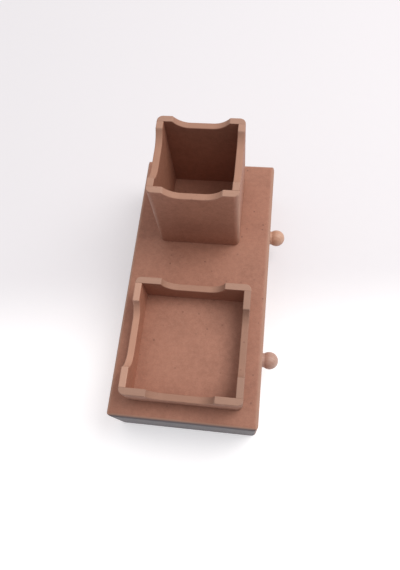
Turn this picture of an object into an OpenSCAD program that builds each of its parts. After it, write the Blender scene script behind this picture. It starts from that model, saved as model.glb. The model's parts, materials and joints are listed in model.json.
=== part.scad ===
// Desktop organiser for a modelling bench, glued up from raw fibreboard.
//
// A long low case holds two drawers side by side. Both pull out to the right on round wooden
// knobs. On the case stand a tall, nearly square brush holder, at the rear, and a shallow tray,
// at the front. All eight of their walls have a scooped upper edge.
//
// Frame: origin at the centre of the underside, +X towards the knobs, +Y towards the rear,
// +Z up. All sizes are in millimetres.

/* [Case] */
// Width of the case, from its closed side to the drawer faces
case_w = 126; // [115:1:160]
// Length of the case, from the front end to the rear end
case_l = 251; // [240:1:320]
// Height of the case, from the table to the face that the boxes stand on
case_h = 57; // [45:1:80]
// Thickness of the fibreboard in the case, the boxes and the drawer frames
board_t = 6; // [5.5:0.5:8]
// Radius of the rounded upper edge of the top board
edge_round = 4; // [1:0.5:4.5]
// Radius of the four upright corners of the case
case_corner_r = 4.5; // [1:0.5:5]

/* [Brush holder] */
// Outer width of the brush holder, across the case
holder_w = 73.5; // [64:0.5:85]
// Outer depth of the brush holder, along the case
holder_d = 74; // [64:1:85]
// Height of the brush holder above the case
holder_h = 85; // [50:1:120]
// How far the holder stands right of the centre line, negative for left
holder_x = -1.5; // [-8:0.5:8]
// Distance from the rear end of the case to the holder's rear wall
holder_margin = 14.5; // [6:0.5:15]
// Depth of the scoop in each holder wall
holder_scoop_depth = 7.5; // [4:0.5:10]
// Radius of the arc at each end of a holder scoop
holder_scoop_r = 18; // [12:0.5:20]
// Length of the level stretch at each end of a holder wall, from the outer corner
holder_land = 13; // [9:0.5:14]

/* [Tray] */
// Outer width of the tray, across the case
tray_w = 98; // [84:1:105]
// Outer depth of the tray, along the case
tray_d = 99.5; // [84:0.5:105]
// Height of the tray above the case
tray_h = 29.5; // [18:0.5:40]
// How far the tray stands right of the centre line, negative for left
tray_x = 0.5; // [-6:0.5:6]
// Distance from the front end of the case to the tray's front wall
tray_margin = 14.5; // [6:0.5:15]
// Depth of the scoop in each tray wall
tray_scoop_depth = 11.5; // [4:0.5:12]
// Radius of the arc at each end of a tray scoop
tray_scoop_r = 14; // [12:0.5:18]
// Length of the level stretch at each end of a tray wall, from the outer corner
tray_land = 22; // [9:0.5:24]

/* [Both boxes] */
// Radius of the outer upright corners of the boxes
box_corner_r = 5; // [1:0.5:5]

/* [Drawers] */
// Thickness of the drawer bottoms
drawer_bottom_t = 3; // [2:0.5:5]
// Free space beside a drawer and its face in the bay, at each side
side_gap = 0.75; // [0.4:0.05:1.5]
// Free space under a drawer
under_gap = 0.4; // [0.3:0.05:1]
// Free space above a drawer face
over_gap = 0.6; // [0.4:0.05:1.5]
// How much lower the drawer walls are than the drawer faces
wall_drop = 1; // [0.5:0.5:6]

/* [Knobs] */
// Radius of the ball of a knob
knob_r = 7.8; // [7:0.1:8]
// Distance from the drawer face to the middle of the ball
knob_reach = 6.9; // [6.5:0.1:11]
// Radius of the neck between the ball and the drawer face
knob_neck_r = 6.4; // [5:0.1:6.6]

/* [Knob screws] */
// Radius of the screw's shank
screw_r = 1.6; // [1.2:0.1:2]
// Radius of the screw's pan head
screw_head_r = 3.4; // [3:0.1:4]
// Height of the screw's pan head
screw_head_h = 2; // [1.6:0.1:3]
// How far the screw reaches into the knob
screw_grip = 9; // [6:0.5:11]

/* [Hidden] */
$fn = 96;

board_colour = [0.66, 0.46, 0.37];
drawer_colour = [0.70, 0.51, 0.41];
knob_colour = [0.82, 0.64, 0.49];
screw_colour = [0.72, 0.72, 0.70];

// The two drawers, as the sign of their Y
front = -1;
rear = 1;

// Case: each drawer has a bay between an end panel and the divider
bay_top = case_h - board_t;
bay_left_x = -case_w / 2 + board_t;
bay_near_y = board_t / 2;
bay_far_y = case_l / 2 - board_t;

// Boxes: middle of each along Y
holder_y = case_l / 2 - holder_margin - holder_d / 2;
tray_y = -case_l / 2 + tray_margin + tray_d / 2;

// Drawers: the face closes the mouth of the bay and is level with the edges round it
face_back_x = case_w / 2 - board_t;
drawer_low_z = board_t + under_gap;
drawer_face_top_z = bay_top - over_gap;
drawer_wall_low_z = drawer_low_z + drawer_bottom_t;
drawer_wall_top_z = drawer_face_top_z - wall_drop;
back_gap = 0.4;
drawer_back_x = bay_left_x + back_gap;
drawer_near_y = bay_near_y + side_gap;
drawer_far_y = bay_far_y - side_gap;

// Knobs: each is in the middle of its drawer face
knob_y = (drawer_near_y + drawer_far_y) / 2;
knob_z = (drawer_low_z + drawer_face_top_z) / 2;
screw_clearance = 0.1;
screw_end_room = 0.5;
screw_head_slope = 0.8;
recess_w = 0.9;
recess_l = 4;
recess_depth = 1.1;

// A margin by which cutting shapes run past what they cut
past = 1;

// ---------- shared shapes ----------

// Outline of the case seen from above
module case_outline() {
    inner_w = case_w - 2 * case_corner_r;
    inner_l = case_l - 2 * case_corner_r;
    square([inner_w, case_l], center = true);
    square([case_w, inner_l], center = true);
    for (x = [-inner_w / 2, inner_w / 2], y = [-inner_l / 2, inner_l / 2])
        translate([x, y]) circle(case_corner_r);
}

// A block between two corners given as lowest and highest point
module block(low, high) {
    translate(low) cube(high - low);
}

// A board of the case: the block between two corners, trimmed to the rounded outline
module case_board(low, high) {
    intersection() {
        translate([0, 0, low.z]) linear_extrude(high.z - low.z) case_outline();
        block([low.x, low.y, low.z - past], [high.x, high.y, high.z + past]);
    }
}

// Upright strip of width w and height h with its two upper corners rounded
module rounded_top_profile(w, h, r) {
    translate([-w / 2, 0]) square([w, h - r]);
    translate([-w / 2 + r, 0]) square([w - 2 * r, h]);
    for (x = [-w / 2 + r, w / 2 - r])
        translate([x, h - r]) circle(r);
}

// Plan of an upright wall, with the corners on its outer side, y = 0, rounded
module wall_plan(len, r) {
    translate([-len / 2, r]) square([len, board_t - r]);
    intersection() {
        union() {
            translate([-len / 2 + r, 0]) square([len - 2 * r, board_t]);
            for (x = [-len / 2 + r, len / 2 - r])
                translate([x, r]) circle(r);
        }
        translate([-len / 2 - past, 0]) square([len + 2 * past, board_t]);
    }
}

// Shape that cuts the scoop out of an upper edge at z = 0: level in the middle, and rising in
// an arc of radius r at each end. open_w is its full width at the edge.
module scoop_cut(open_w, depth, r) {
    arc_run = sqrt(2 * r * depth - depth * depth);
    level_half = open_w / 2 - arc_run;
    rotate([90, 0, 0])
        linear_extrude(2 * (board_t + past), center = true) {
            translate([-level_half, -depth]) square([2 * level_half, depth + past]);
            for (x = [-level_half, level_half])
                translate([x, r - depth]) circle(r);
        }
}

// Full-width wall with rounded outer corners, its outer face in the plane y = 0
module cornered_wall(len, h, open_w, depth, r) {
    difference() {
        linear_extrude(h) wall_plan(len, box_corner_r);
        translate([0, 0, h]) scoop_cut(open_w, depth, r);
    }
}

// Plain wall that fits between two cornered walls, its outer face in the plane y = 0
module between_wall(len, h, open_w, depth, r) {
    difference() {
        block([-len / 2, 0, 0], [len / 2, board_t, h]);
        translate([0, 0, h]) scoop_cut(open_w, depth, r);
    }
}

// ---------- case ----------

module top_board() {
    color(board_colour)
        translate([0, 0, bay_top])
            intersection() {
                linear_extrude(board_t) case_outline();
                rotate([90, 0, 0])
                    linear_extrude(case_l + past, center = true)
                        rounded_top_profile(case_w, board_t, edge_round);
                rotate([90, 0, 90])
                    linear_extrude(case_w + past, center = true)
                        rounded_top_profile(case_l, board_t, edge_round);
            }
}

module bottom_board() {
    color(board_colour)
        linear_extrude(board_t) case_outline();
}

// End panel of the case on side s, -1 for the front and 1 for the rear
module end_panel(s) {
    color(board_colour)
        case_board(
            [-case_w / 2, s < 0 ? -case_l / 2 : bay_far_y, board_t],
            [case_w / 2, s < 0 ? -bay_far_y : case_l / 2, bay_top]
        );
}

module left_side_panel() {
    color(board_colour)
        block([-case_w / 2, -bay_far_y, board_t], [bay_left_x, bay_far_y, bay_top]);
}

module centre_divider() {
    color(board_colour)
        block([bay_left_x, -board_t / 2, board_t], [case_w / 2, board_t / 2, bay_top]);
}

// ---------- brush holder ----------

// Places a wall of the brush holder on the side that turn gives, with its outer face as far
// from the holder's middle as distance says
module on_holder(turn, distance) {
    translate([holder_x, holder_y, case_h])
        rotate(turn)
            translate([0, -distance, 0]) children();
}

module holder_cornered_wall(turn) {
    color(board_colour)
        on_holder(turn, holder_d / 2)
            cornered_wall(holder_w, holder_h,
                holder_w - 2 * holder_land, holder_scoop_depth, holder_scoop_r);
}

module holder_between_wall(turn) {
    color(board_colour)
        on_holder(turn, holder_w / 2)
            between_wall(holder_d - 2 * board_t, holder_h,
                holder_d - 2 * holder_land, holder_scoop_depth, holder_scoop_r);
}

// ---------- tray ----------

// Places a wall of the tray on the side that turn gives, with its outer face as far from the
// tray's middle as distance says
module on_tray(turn, distance) {
    translate([tray_x, tray_y, case_h])
        rotate(turn)
            translate([0, -distance, 0]) children();
}

module tray_cornered_wall(turn) {
    color(board_colour)
        on_tray(turn, tray_d / 2)
            cornered_wall(tray_w, tray_h,
                tray_w - 2 * tray_land, tray_scoop_depth, tray_scoop_r);
}

module tray_between_wall(turn) {
    color(board_colour)
        on_tray(turn, tray_w / 2)
            between_wall(tray_d - 2 * board_t, tray_h,
                tray_d - 2 * tray_land, tray_scoop_depth, tray_scoop_r);
}

// ---------- drawers ----------

// A block of the drawer on side s, whose Y is given outwards from the middle of the case
module drawer_block(s, low, high) {
    block(
        [low.x, s < 0 ? -high.y : low.y, low.z],
        [high.x, s < 0 ? -low.y : high.y, high.z]
    );
}

// Hole for the knob's screw through the drawer face
module screw_hole(s) {
    translate([face_back_x - past, s * knob_y, knob_z])
        rotate([0, 90, 0])
            cylinder(h = board_t + 2 * past, r = screw_r + screw_clearance);
}

module drawer_face(s) {
    color(drawer_colour)
        difference() {
            drawer_block(s,
                [face_back_x, drawer_near_y, drawer_low_z],
                [case_w / 2, drawer_far_y, drawer_face_top_z]);
            screw_hole(s);
        }
}

module drawer_outer_side(s) {
    color(drawer_colour)
        drawer_block(s,
            [drawer_back_x, drawer_far_y - board_t, drawer_wall_low_z],
            [face_back_x, drawer_far_y, drawer_wall_top_z]);
}

module drawer_inner_side(s) {
    color(drawer_colour)
        drawer_block(s,
            [drawer_back_x, drawer_near_y, drawer_wall_low_z],
            [face_back_x, drawer_near_y + board_t, drawer_wall_top_z]);
}

module drawer_back(s) {
    color(drawer_colour)
        drawer_block(s,
            [drawer_back_x, drawer_near_y + board_t, drawer_wall_low_z],
            [drawer_back_x + board_t, drawer_far_y - board_t, drawer_wall_top_z]);
}

module drawer_bottom(s) {
    color(drawer_colour)
        drawer_block(s,
            [drawer_back_x, drawer_near_y, drawer_low_z],
            [face_back_x, drawer_far_y, drawer_wall_low_z]);
}

// ---------- knobs and screws ----------

// Half section of a knob, a ball on a straight neck, with the drawer face at y = 0 and the
// turning axis at x = 0
module knob_section() {
    square([knob_neck_r, knob_reach]);
    intersection() {
        translate([0, knob_reach]) circle(knob_r);
        square([knob_r + past, knob_reach + knob_r + past]);
    }
}

module drawer_knob(s) {
    color(knob_colour)
        translate([case_w / 2, s * knob_y, knob_z])
            rotate([0, 90, 0])
                difference() {
                    rotate_extrude() knob_section();
                    translate([0, 0, -past])
                        cylinder(h = past + screw_grip + screw_end_room,
                            r = screw_r + screw_clearance);
                }
}

// Pan-head screw from inside the drawer into the knob, with a cross recess in its head
module drawer_screw(s) {
    color(screw_colour)
        translate([face_back_x, s * knob_y, knob_z])
            rotate([0, 90, 0])
                difference() {
                    union() {
                        cylinder(h = board_t + screw_grip, r = screw_r);
                        translate([0, 0, -screw_head_h])
                            cylinder(h = screw_head_h,
                                r1 = screw_head_r - screw_head_slope, r2 = screw_head_r);
                    }
                    for (turn = [0, 90])
                        rotate(turn)
                            translate([-recess_l / 2, -recess_w / 2, -screw_head_h - past])
                                cube([recess_l, recess_w, recess_depth + past]);
                }
}

// ---------- nodes ----------

top_board();
bottom_board();
end_panel(front);  // front_end_panel
end_panel(rear);  // rear_end_panel
left_side_panel();
centre_divider();

holder_cornered_wall(0);  // holder_front_wall
holder_cornered_wall(180);  // holder_rear_wall
holder_between_wall(-90);  // holder_left_wall
holder_between_wall(90);  // holder_right_wall

tray_cornered_wall(0);  // tray_front_wall
tray_cornered_wall(180);  // tray_rear_wall
tray_between_wall(-90);  // tray_left_wall
tray_between_wall(90);  // tray_right_wall

drawer_face(front);  // front_drawer_face
drawer_outer_side(front);  // front_drawer_outer_side
drawer_inner_side(front);  // front_drawer_inner_side
drawer_back(front);  // front_drawer_back
drawer_bottom(front);  // front_drawer_bottom
drawer_knob(front);  // front_drawer_knob
drawer_screw(front);  // front_drawer_screw

drawer_face(rear);  // rear_drawer_face
drawer_outer_side(rear);  // rear_drawer_outer_side
drawer_inner_side(rear);  // rear_drawer_inner_side
drawer_back(rear);  // rear_drawer_back
drawer_bottom(rear);  // rear_drawer_bottom
drawer_knob(rear);  // rear_drawer_knob
drawer_screw(rear);  // rear_drawer_screw
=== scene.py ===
"""Looks of the hobby desk organizer: raw fibreboard, turned wooden knobs and zinc-plated screws.

Every board is rebuilt from its CAD node as a clean mesh whose free edges are softly sanded and
whose glued edges stay tight, so that each joint shows as a fine seam. The top board and a few
more edges keep the CAD's shape, see keeps_edge. Knobs and screws keep their CAD meshes.
Positions and sizes come from the frame; lengths here are in metres.
"""

import json
import math
import random

import bmesh
import bpy
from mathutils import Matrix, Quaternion, Vector

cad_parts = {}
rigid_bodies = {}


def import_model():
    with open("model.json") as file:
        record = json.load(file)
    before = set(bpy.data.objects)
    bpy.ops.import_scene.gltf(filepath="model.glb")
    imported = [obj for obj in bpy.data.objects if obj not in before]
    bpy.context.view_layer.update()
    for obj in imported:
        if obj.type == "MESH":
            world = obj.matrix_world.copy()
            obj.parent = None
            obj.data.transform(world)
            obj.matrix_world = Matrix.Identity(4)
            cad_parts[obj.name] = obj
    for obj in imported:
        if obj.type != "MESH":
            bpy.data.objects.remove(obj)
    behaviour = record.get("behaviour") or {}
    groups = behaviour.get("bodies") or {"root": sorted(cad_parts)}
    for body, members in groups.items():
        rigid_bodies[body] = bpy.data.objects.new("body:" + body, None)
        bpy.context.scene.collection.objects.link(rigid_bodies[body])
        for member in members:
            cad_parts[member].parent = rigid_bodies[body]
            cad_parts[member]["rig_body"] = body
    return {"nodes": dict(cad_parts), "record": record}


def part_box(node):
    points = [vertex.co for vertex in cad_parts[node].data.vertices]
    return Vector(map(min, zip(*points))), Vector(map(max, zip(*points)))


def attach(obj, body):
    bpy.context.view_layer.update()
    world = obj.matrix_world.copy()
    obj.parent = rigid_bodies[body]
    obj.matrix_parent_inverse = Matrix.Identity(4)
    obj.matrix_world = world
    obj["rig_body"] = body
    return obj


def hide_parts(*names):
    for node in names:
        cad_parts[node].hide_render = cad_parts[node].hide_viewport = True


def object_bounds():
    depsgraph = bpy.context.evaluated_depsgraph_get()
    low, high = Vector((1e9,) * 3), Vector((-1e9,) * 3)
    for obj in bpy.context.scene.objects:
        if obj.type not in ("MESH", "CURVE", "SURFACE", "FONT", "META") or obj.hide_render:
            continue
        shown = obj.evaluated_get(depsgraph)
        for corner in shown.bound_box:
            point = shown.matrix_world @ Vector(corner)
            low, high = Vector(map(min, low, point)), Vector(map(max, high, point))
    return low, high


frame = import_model()
cad_low, cad_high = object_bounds()

MM = 0.001

# Camera, in the frame of the object
CAMERA_AT = Vector((0.0506, -0.1564, 0.4632))
CAMERA_AIM = Vector((0.0032, -0.0044, 0.0570))
CAMERA_ROLL_DEG = -12.0
CAMERA_LENS = 30.63

# Key light: where the round soft light stands, how wide it is, its watts and its colour
KEY_AT = Vector((0.76, 0.33, 1.30))
KEY_SIZE = 1.05
KEY_WATTS = 13.2
KEY_TONE = (1.0, 0.97, 0.94)

# Sky: the direction in which it is brightest, and its radiance far from there and right there
SKY_TOP = tuple(Vector((-0.08, 0.34, 0.93)).normalized())
SKY_LOW = (0.15, 0.16, 0.18)
SKY_HIGH = (0.81, 0.77, 0.76)

# Studio floor: how far it reaches, the direction in which it darkens and from where to where,
# its tone at either end, and its glow
FLOOR_REACH = 3.0
FLOOR_RUN = (-0.107, 0.994, 0.0)
FLOOR_FADE = (-0.08, 0.04)
FLOOR_NEAR = (0.80, 0.80, 0.81)
FLOOR_FAR = (0.47, 0.45, 0.47)
FLOOR_GLOW = (0.98, 0.98, 1.0)
GLOW_STRENGTH = 0.43

# Cleaning of the CAD meshes: how near points are one point, and how flat faces are one face
SAME_POINT = 0.002 * MM
SAME_FACE = math.radians(0.6)

# Sanding: from which angle on an edge is sanded, how wide and in how many steps, how much of that
# a glued edge gets, how near counts as touching, what counts as short, and how firmly the faces
# beside a sanded edge are kept flat
SHARP_FROM = math.radians(35)
FREE_EDGE = 0.8 * MM
EDGE_STEPS = 3
GLUED_SHARE = 0.08
TOUCH = 0.05 * MM
SHORT_EDGE = 2 * MM
FLATNESS = 60

# Fibreboard colours, linear
FACE_TONE = (0.400, 0.178, 0.114)
CUT_TONE = (0.452, 0.258, 0.186)
DARK_FIBRE = (0.150, 0.062, 0.040)
PALE_FIBRE = (0.560, 0.340, 0.245)

# The front end of the case is darkened to grey as painted shade, over the edges of its three
# boards
FRONT_SHADE_TONE = (0.111, 0.101, 0.112)
FRONT_SHADE_SHARE = 0.96
FRONT_SHADE_BOARDS = ("top_board", "front_end_panel", "bottom_board")

# The case's two big boards are routed, and how much their edges then show as cut: partly the paler
# core that routing bares, partly a painted highlight where the round-over catches the light
ROUTED_BOARDS = ("top_board", "bottom_board")
ROUTED_CUT_AND_HIGHLIGHT_SHARE = 0.8

# Painted shade: what a scoop is darkened and reddened by, below the level rims of its wall
SCOOP_SHADE_TINT = (0.95, 0.88, 0.84)

# How much paler or darker than the rest a board is made, and how each knob is tinted. These are
# matched to the look, board by board: part of each is the piece's own tone and part is painted
# light and shade, which makes up for the lighting
PALENESS_AND_PAINTED_LIGHT = {"tray_left_wall": 0.23, "tray_right_wall": -0.16, "tray_front_wall": -0.13,
            "tray_rear_wall": -0.04, "holder_rear_wall": -0.05}
KNOB_TINTS_AND_PAINTED_LIGHT = {"front_drawer_knob": (0.86, 0.88, 0.96), "rear_drawer_knob": (1.03, 1.0, 0.96)}

# How far boards differ by chance in warmth and in paleness
WARMTH_SPREAD = 0.015
PALENESS_SPREAD = 0.02

# Turned wood: its lighter and darker patches, its growth rings and its pores, linear
WOOD_PALE = (0.640, 0.405, 0.300)
WOOD_DEEP = (0.560, 0.335, 0.245)
WOOD_RING = (0.440, 0.230, 0.140)
WOOD_PORE = (0.330, 0.160, 0.085)

# Zinc plating, bright and dulled, linear
ZINC_BRIGHT = (0.60, 0.60, 0.58)
ZINC_DULL = (0.46, 0.45, 0.42)


# ---------- node helpers ----------

class Nodes:
    """The emptied node tree of a material or world, with short calls that each add one node and
    return its output."""

    def __init__(self, owner, output="OutputMaterial"):
        owner.use_nodes = True
        self.owner = owner
        self.tree = owner.node_tree
        self.tree.nodes.clear()
        self.surface = self.add(output).inputs["Surface"]

    def put(self, value, socket):
        """Links an output to a socket, or sets the socket's own value."""
        if isinstance(value, bpy.types.NodeSocket):
            self.tree.links.new(value, socket)
        elif socket.type == "RGBA" and len(value) == 3:
            socket.default_value = (*value, 1.0)
        else:
            socket.default_value = value

    def add(self, kind, inputs=None, **settings):
        node = self.tree.nodes.new("ShaderNode" + kind)
        for key, value in settings.items():
            setattr(node, key, value)
        for key, value in (inputs or {}).items():
            self.put(value, node.inputs[key])
        return node

    def math(self, operation, a, b=0.0):
        node = self.add("Math", {0: a, 1: b}, operation=operation)
        return node.outputs[0]

    def vector(self, operation, a, b=(0.0, 0.0, 0.0)):
        node = self.add("VectorMath", {0: a, 1: b}, operation=operation)
        is_number = operation in ("DOT_PRODUCT", "LENGTH")
        return node.outputs["Value" if is_number else "Vector"]

    def ramp(self, value, low, high, to_low=0.0, to_high=1.0):
        """value from low to high, eased into to_low to to_high."""
        node = self.add("MapRange", {"Value": value, "From Min": low, "From Max": high,
                                     "To Min": to_low, "To Max": to_high},
                        interpolation_type="SMOOTHSTEP")
        return node.outputs[0]

    def mix(self, share, a, b, blend="MIX"):
        node = self.add("Mix", data_type="RGBA", blend_type=blend)
        self.put(share, node.inputs[0])
        self.put(a, node.inputs[6])
        self.put(b, node.inputs[7])
        return node.outputs[2]

    def noise(self, where, scale, detail=3.0, roughness=0.5, distortion=0.0):
        node = self.add("TexNoise", {"Vector": where, "Scale": scale, "Detail": detail,
                                     "Roughness": roughness, "Distortion": distortion})
        return node.outputs["Fac"]

    def spots(self, where, scale):
        """Distance from the nearest of many scattered points, and that point's random number."""
        node = self.add("TexVoronoi", {"Vector": where, "Scale": scale})
        return node.outputs["Distance"], node.outputs["Color"]

    def stretched(self, where, scale, turn=(0.0, 0.0, 0.0), shift=(0.0, 0.0, 0.0)):
        node = self.add("Mapping", {"Vector": where, "Location": shift, "Rotation": turn,
                                    "Scale": scale})
        return node.outputs["Vector"]

    def finish(self, colour, roughness, height, strength, distance, **fixed):
        """The one shader. Fixed values go straight on its sockets."""
        bump = self.add("Bump", {"Height": height, "Strength": strength, "Distance": distance})
        shader = self.add("BsdfPrincipled", {"Base Color": colour, "Roughness": roughness,
                                             "Normal": bump.outputs[0]})
        for key, value in fixed.items():
            self.put(value, shader.inputs[key.replace("_", " ")])
        self.tree.links.new(shader.outputs[0], self.surface)
        return self.owner


# ---------- materials ----------

# The patterns on the object are worked out in millimetres: at a scale of 1.0 their features are
# about 1 mm wide.

def scaled(tone, by):
    return tuple(value * share for value, share in zip(tone, by))


def mottled_face(n, where, mottle, grain, fibres, dark):
    """A board's brown face: cloudy, mottled, and flecked with paler and darker fibres."""
    cloud = n.noise(where, 0.035, 2.0)
    distance, colour = n.spots(where, 0.9)
    fleck = n.math("MULTIPLY", n.ramp(distance, 0.34, 0.10), n.ramp(colour, 0.55, 0.85))
    tone = n.mix(n.ramp(cloud, 0.30, 0.70, 0.0, 0.60), FACE_TONE,
                 scaled(FACE_TONE, (0.80, 0.76, 0.74)))
    tone = n.mix(n.ramp(mottle, 0.34, 0.68, 0.0, 0.42), tone,
                 scaled(FACE_TONE, (1.22, 1.26, 1.30)))
    tone = n.mix(n.ramp(grain, 0.42, 0.72, 0.0, 0.16), tone, DARK_FIBRE)
    tone = n.mix(n.math("MULTIPLY", fibres, 0.20), tone, PALE_FIBRE)
    tone = n.mix(dark, tone, DARK_FIBRE)
    return n.mix(n.math("MULTIPLY", fleck, 0.16), tone, DARK_FIBRE)


def layered_cut(n, where, thin_axis, fuzz, dark):
    """A board's cut edge: paler, fuzzy, and in layers that follow the board's faces."""
    layers = n.noise(n.stretched(where, tuple(2.2 if v else 0.12 for v in thin_axis)), 1.0, 3.0)
    tone = n.mix(n.ramp(layers, 0.35, 0.65, 0.0, 0.30), CUT_TONE,
                 scaled(CUT_TONE, (0.78, 0.78, 0.78)))
    tone = n.mix(n.ramp(fuzz, 0.40, 0.70, 0.0, 0.30), tone, PALE_FIBRE)
    return n.mix(n.math("MULTIPLY", dark, 0.35), tone, DARK_FIBRE)


def fibreboard(name, thin_axis, rim_z, seed, is_routed, front_shade_share, warmth, paleness):
    """Raw fibreboard. Its two faces are smooth, brown and finely mottled; whatever is cut, seen
    from its normal lying across thin_axis, is paler and fuzzy, in layers that follow the faces,
    and a little darker and redder, as painted shade, where it lies below rim_z, in a scoop. A
    routed board shows this less, but from a smaller slope on, so that its round-over is partly
    the paler core that routing bares and partly a painted highlight. The share given for the
    front says how far whatever faces the front is darkened to grey, as painted shade."""
    n = Nodes(bpy.data.materials.new(name))
    draw = random.Random(seed)
    coordinate = n.add("TexCoord")
    shift = tuple(draw.uniform(-9.0, 9.0) for _ in range(3))
    where = n.stretched(coordinate.outputs["Object"], (1 / MM,) * 3, shift=shift)

    across = n.math("ABSOLUTE", n.vector("DOT_PRODUCT", coordinate.outputs["Normal"], thin_axis))
    if is_routed:
        # On a routed board the paler cut tone reaches onto the round-over: partly bared core,
        # partly painted highlight
        cut = n.ramp(across, 0.99, 0.84, 0.0, ROUTED_CUT_AND_HIGHLIGHT_SHARE)
        dark_share = 0.70
    else:
        cut = n.ramp(across, 0.93, 0.55)
        dark_share = 0.30
    up = n.add("SeparateXYZ", {0: coordinate.outputs["Object"]}).outputs["Z"]
    # Painted shade in a scoop: its cut below the rim is made darker and redder
    painted_scoop_shade = n.math("MULTIPLY", cut, n.ramp(up, rim_z - 0.6 * MM, rim_z - 1.6 * MM))
    # Painted shade: whatever faces the front is darkened to grey
    forward = n.vector("DOT_PRODUCT", coordinate.outputs["Normal"], (0.0, -1.0, 0.0))
    painted_front_shade = n.ramp(forward, 0.45, 0.95, 0.0, front_shade_share)

    mottle = n.noise(where, 0.22, 4.0, 0.62)
    grain = n.noise(where, 1.1, 5.0, 0.68, 0.4)
    fuzz = n.noise(where, 2.4, 5.0, 0.75)
    fibres = n.math("MAXIMUM", *[
        n.ramp(n.noise(n.stretched(where, (0.5, 2.6, 2.6), (angle, angle * 0.7, angle)), 0.9, 2.0),
               0.60, 0.76) for angle in (0.4, 1.7)])
    distance, colour = n.spots(where, 0.22)
    dark = n.math("MULTIPLY", n.ramp(distance, 0.26, 0.07), n.ramp(colour, 0.62, 0.90))

    face = mottled_face(n, where, mottle, grain, fibres, n.math("MULTIPLY", dark, dark_share))
    tone = n.mix(cut, face, layered_cut(n, where, thin_axis, fuzz, dark))
    tone = n.mix(painted_scoop_shade, tone, SCOOP_SHADE_TINT, blend="MULTIPLY")
    tone = n.mix(painted_front_shade, tone, n.mix(mottle, FRONT_SHADE_TONE, scaled(FRONT_SHADE_TONE, (0.8, 0.8, 0.8))))
    tone = n.mix(1.0, tone, (1 + warmth + paleness, 1 + paleness, 1 - warmth + paleness),
                 blend="MULTIPLY")

    roughness = n.math("ADD", n.ramp(grain, 0.3, 0.7, 0.52, 0.66), n.math("MULTIPLY", cut, 0.18))
    height = n.math("ADD", n.math("MULTIPLY", grain, 0.5), n.math("MULTIPLY", fibres, 0.3))
    height = n.math("ADD", height, n.math("MULTIPLY", n.math("MULTIPLY", fuzz, cut), 1.4))
    height = n.math("SUBTRACT", height, n.math("MULTIPLY", dark, 0.5))
    return n.finish(tone, roughness, height, 0.35, 0.12 * MM)


def turned_wood(name, axis_at, seed, tint):
    """Pale turned wood, unvarnished: growth rings round a line beside the turning axis, which
    runs along X, with fine pores drawn out along it."""
    n = Nodes(bpy.data.materials.new(name))
    draw = random.Random(seed)
    coordinate = n.add("TexCoord")
    heart = Vector((0.0, draw.uniform(9.0, 12.0) * MM, draw.uniform(-7.0, -4.0) * MM))
    centred = n.vector("SUBTRACT", coordinate.outputs["Object"], tuple(axis_at + heart))
    where = n.stretched(centred, (1 / MM,) * 3, turn=(0.0, 0.06, 0.10))
    wobble = n.noise(n.stretched(where, (0.03, 0.16, 0.16)), 1.0, 2.0)
    around = n.stretched(where, (0.0, 1.0, 1.0))
    radius = n.vector("LENGTH", around)
    ring = n.math("FRACT", n.math("MULTIPLY", n.math("ADD", radius,
                                                     n.math("MULTIPLY", wobble, 1.6)), 0.62))
    late = n.math("MULTIPLY", n.ramp(ring, 0.25, 0.86), n.ramp(ring, 1.0, 0.93))
    pores = n.noise(n.stretched(where, (0.35, 3.2, 3.2)), 1.0, 3.0, 0.6)
    cloud = n.noise(where, 0.16, 2.0)

    tone = n.mix(n.ramp(cloud, 0.3, 0.7), WOOD_PALE, WOOD_DEEP)
    tone = n.mix(n.math("MULTIPLY", late, 0.26), tone, WOOD_RING)
    tone = n.mix(n.ramp(pores, 0.56, 0.74, 0.0, 0.30), tone, WOOD_PORE)
    tone = n.mix(1.0, tone, tint, blend="MULTIPLY")
    roughness = n.ramp(pores, 0.3, 0.7, 0.38, 0.52)
    height = n.math("ADD", pores, n.math("MULTIPLY", late, 0.4))
    return n.finish(tone, roughness, height, 0.25, 0.08 * MM)


def zinc(name):
    """Zinc plating: bright metal, faintly brushed, with duller patches."""
    n = Nodes(bpy.data.materials.new(name))
    coordinate = n.add("TexCoord")
    where = n.stretched(coordinate.outputs["Object"], (1 / MM,) * 3)
    brushed = n.noise(n.stretched(where, (0.4, 6.0, 1.2)), 1.0, 3.0, 0.6)
    patch = n.noise(where, 0.9, 3.0)
    tone = n.mix(n.ramp(patch, 0.35, 0.7), ZINC_BRIGHT, ZINC_DULL)
    roughness = n.ramp(brushed, 0.3, 0.7, 0.26, 0.42)
    return n.finish(tone, roughness, brushed, 0.15, 0.04 * MM, Metallic=1.0)


def floor_material():
    """Plain pale studio floor, darker towards the rear. It glows a little, so that the shadows
    on it stay weak."""
    n = Nodes(bpy.data.materials.new("studio_floor"))
    coordinate = n.add("TexCoord")
    along = n.vector("DOT_PRODUCT", coordinate.outputs["Object"], FLOOR_RUN)
    tone = n.mix(n.ramp(along, *FLOOR_FADE), FLOOR_NEAR, FLOOR_FAR)
    fine = n.noise(coordinate.outputs["Object"], 90.0, 2.0)
    return n.finish(tone, n.ramp(fine, 0.3, 0.7, 0.78, 0.86), fine, 0.02, 0.1 * MM,
                    Emission_Color=FLOOR_GLOW, Emission_Strength=GLOW_STRENGTH)


# ---------- boards ----------

def boxes_touching(name):
    """The boxes of the other pieces of the same body that touch this node's box."""
    members = next(m for m in frame["record"]["behaviour"]["bodies"].values() if name in m)
    low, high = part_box(name)
    found = []
    for other in members:
        if other == name or other.endswith(("_knob", "_screw")):
            continue
        other_low, other_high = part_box(other)
        if all(other_low[i] < high[i] + TOUCH and other_high[i] > low[i] - TOUCH
               for i in range(3)):
            found.append((other_low, other_high))
    return found


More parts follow.
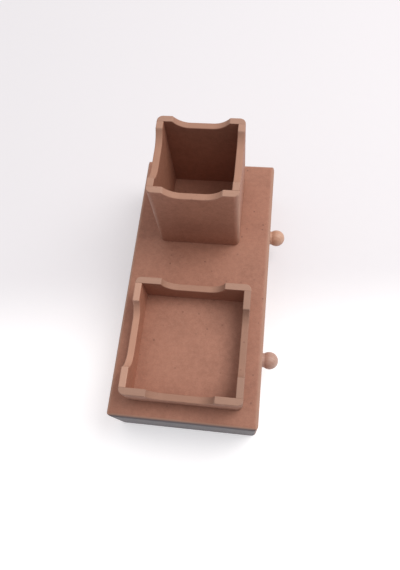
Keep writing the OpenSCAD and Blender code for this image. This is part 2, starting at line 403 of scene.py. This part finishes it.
def clean_mesh(name):
    """The CAD node's mesh with its points joined and its flat faces whole."""
    bm = bmesh.new()
    bm.from_mesh(frame["nodes"][name].data)
    bmesh.ops.remove_doubles(bm, verts=bm.verts, dist=SAME_POINT)
    bmesh.ops.dissolve_limit(bm, angle_limit=SAME_FACE, verts=bm.verts, edges=bm.edges)
    return bm


def cut_at_joints(bm, name, neighbours):
    """Splits the mesh along the sides of the boards that it meets, so that an edge can be
    glued over one stretch and free over the next."""
    low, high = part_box(name)
    for corners in neighbours:
        for corner in corners:
            for i in range(3):
                if low[i] + TOUCH < corner[i] < high[i] - TOUCH:
                    normal = Vector((0, 0, 0))
                    normal[i] = 1.0
                    bmesh.ops.bisect_plane(bm, geom=bm.verts[:] + bm.edges[:] + bm.faces[:],
                                           plane_co=corner, plane_no=normal,
                                           dist=SAME_POINT)


def keeps_edge(name, edge):
    """Whether an edge stays as the CAD has it: on the top board, which is routed all round, on
    the bottom board except round its underside, and round the hole in a drawer face."""
    if name == "bottom_board":
        return any(vert.co.z > cad_low.z + TOUCH for vert in edge.verts)
    return name == "top_board" or name.endswith("_face") and edge.calc_length() < SHORT_EDGE


def weigh_edges(bm, name, neighbours):
    """Sets how far each edge is sanded: fully where it is free, hardly where it is glued."""
    weight = bm.edges.layers.float.new("bevel_weight_edge")
    for edge in bm.edges:
        if len(edge.link_faces) != 2 or edge.calc_face_angle(0.0) < SHARP_FROM:
            continue
        if keeps_edge(name, edge):
            edge.smooth = False
            continue
        middle = (edge.verts[0].co + edge.verts[1].co) / 2
        glued = any(all(low[i] - TOUCH < middle[i] < high[i] + TOUCH for i in range(3))
                    for low, high in neighbours)
        edge[weight] = GLUED_SHARE if glued else 1.0


def board_material(name, seed):
    """This board's own fibreboard. Only walls have scoops; any other board gives its underside
    as the rim, and nothing lies below that."""
    low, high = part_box(name)
    sides = [high[i] - low[i] for i in range(3)]
    thin = sides.index(min(sides))
    thin_axis = tuple(1.0 if i == thin else 0.0 for i in range(3))
    rim_z = high.z if name.endswith("_wall") else low.z
    draw = random.Random(seed * 7 + 1)
    warmth = draw.uniform(-WARMTH_SPREAD, WARMTH_SPREAD)
    # A board's paleness is partly its own tone and chance, partly painted light and shade
    paleness = PALENESS_AND_PAINTED_LIGHT.get(name, 0.0) + draw.uniform(-PALENESS_SPREAD, PALENESS_SPREAD)
    # The boards at the front get painted shade on whatever faces the front
    return fibreboard("fibreboard_" + name, thin_axis, rim_z, seed, name in ROUTED_BOARDS,
                      FRONT_SHADE_SHARE if name in FRONT_SHADE_BOARDS else 0.0, warmth, paleness)


def board(name, seed):
    """The board that is seen in place of a CAD node: same shape, with sanded edges."""
    neighbours = boxes_touching(name)
    bm = clean_mesh(name)
    cut_at_joints(bm, name, neighbours)
    weigh_edges(bm, name, neighbours)
    mesh = bpy.data.meshes.new(name + "_board")
    bm.to_mesh(mesh)
    bm.free()
    mesh.shade_smooth()
    piece = bpy.data.objects.new(name + "_board", mesh)
    bpy.context.scene.collection.objects.link(piece)

    bevel = piece.modifiers.new("sanded_edges", "BEVEL")
    bevel.limit_method = "WEIGHT"
    bevel.width = FREE_EDGE
    bevel.segments = EDGE_STEPS
    bevel.use_clamp_overlap = True
    bevel.loop_slide = True
    flat = piece.modifiers.new("flat_faces", "WEIGHTED_NORMAL")
    flat.keep_sharp = True
    flat.weight = FLATNESS

    mesh.materials.append(board_material(name, seed))
    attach(piece, frame["nodes"][name]["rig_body"])
    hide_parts(name)


def give(name, material):
    """Puts one material on a CAD node that is shown as it is."""
    node = frame["nodes"][name]
    for slot in node.material_slots:
        slot.material = material


for number, name in enumerate(sorted(frame["nodes"])):
    if name.endswith("_knob"):
        low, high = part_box(name)
        # A knob's tint is partly its own tone, partly painted light and shade
        give(name, turned_wood("wood_" + name, (low + high) / 2, number, KNOB_TINTS_AND_PAINTED_LIGHT[name]))
    elif name.endswith("_screw"):
        give(name, zinc("zinc_" + name))
    else:
        board(name, number)


# ---------- studio ----------

def add_floor():
    mesh = bpy.data.meshes.new("studio_floor")
    far = FLOOR_REACH
    mesh.from_pydata([(-far, -far, 0), (far, -far, 0), (far, far, 0), (-far, far, 0)], [],
                     [(0, 1, 2, 3)])
    floor = bpy.data.objects.new("studio_floor", mesh)
    floor.location.z = cad_low.z
    mesh.materials.append(floor_material())
    bpy.context.scene.collection.objects.link(floor)


def add_key_light():
    """A round soft light high up on the drawers' side."""
    data = bpy.data.lights.new("key", "AREA")
    data.shape = "DISK"
    data.size = KEY_SIZE
    data.energy = KEY_WATTS
    data.color = KEY_TONE
    light = bpy.data.objects.new("key", data)
    light.location = KEY_AT
    light.rotation_mode = "QUATERNION"
    light.rotation_quaternion = (CAMERA_AIM - KEY_AT).to_track_quat("-Z", "Y")
    bpy.context.scene.collection.objects.link(light)


def add_sky():
    """Light from all round, brightest from overhead and a little to the rear."""
    n = Nodes(bpy.data.worlds.new("studio_sky"), "OutputWorld")
    direction = n.add("TexCoord").outputs["Generated"]
    towards = n.vector("DOT_PRODUCT", direction, SKY_TOP)
    tone = n.mix(n.ramp(towards, 0.0, 1.0), SKY_LOW, SKY_HIGH)
    background = n.add("Background", {"Color": tone, "Strength": 1.0})
    n.tree.links.new(background.outputs[0], n.surface)
    bpy.context.scene.world = n.owner


def add_camera():
    data = bpy.data.cameras.new("camera")
    data.lens = CAMERA_LENS
    data.clip_start = 0.01
    camera = bpy.data.objects.new("camera", data)
    camera.location = CAMERA_AT
    camera.rotation_mode = "QUATERNION"
    look = (CAMERA_AIM - CAMERA_AT).to_track_quat("-Z", "Y")
    camera.rotation_quaternion = look @ Quaternion((0, 0, 1), math.radians(CAMERA_ROLL_DEG))
    bpy.context.scene.collection.objects.link(camera)
    bpy.context.scene.camera = camera


add_floor()
add_sky()
add_key_light()
add_camera()
bpy.context.scene.view_settings.view_transform = "Standard"
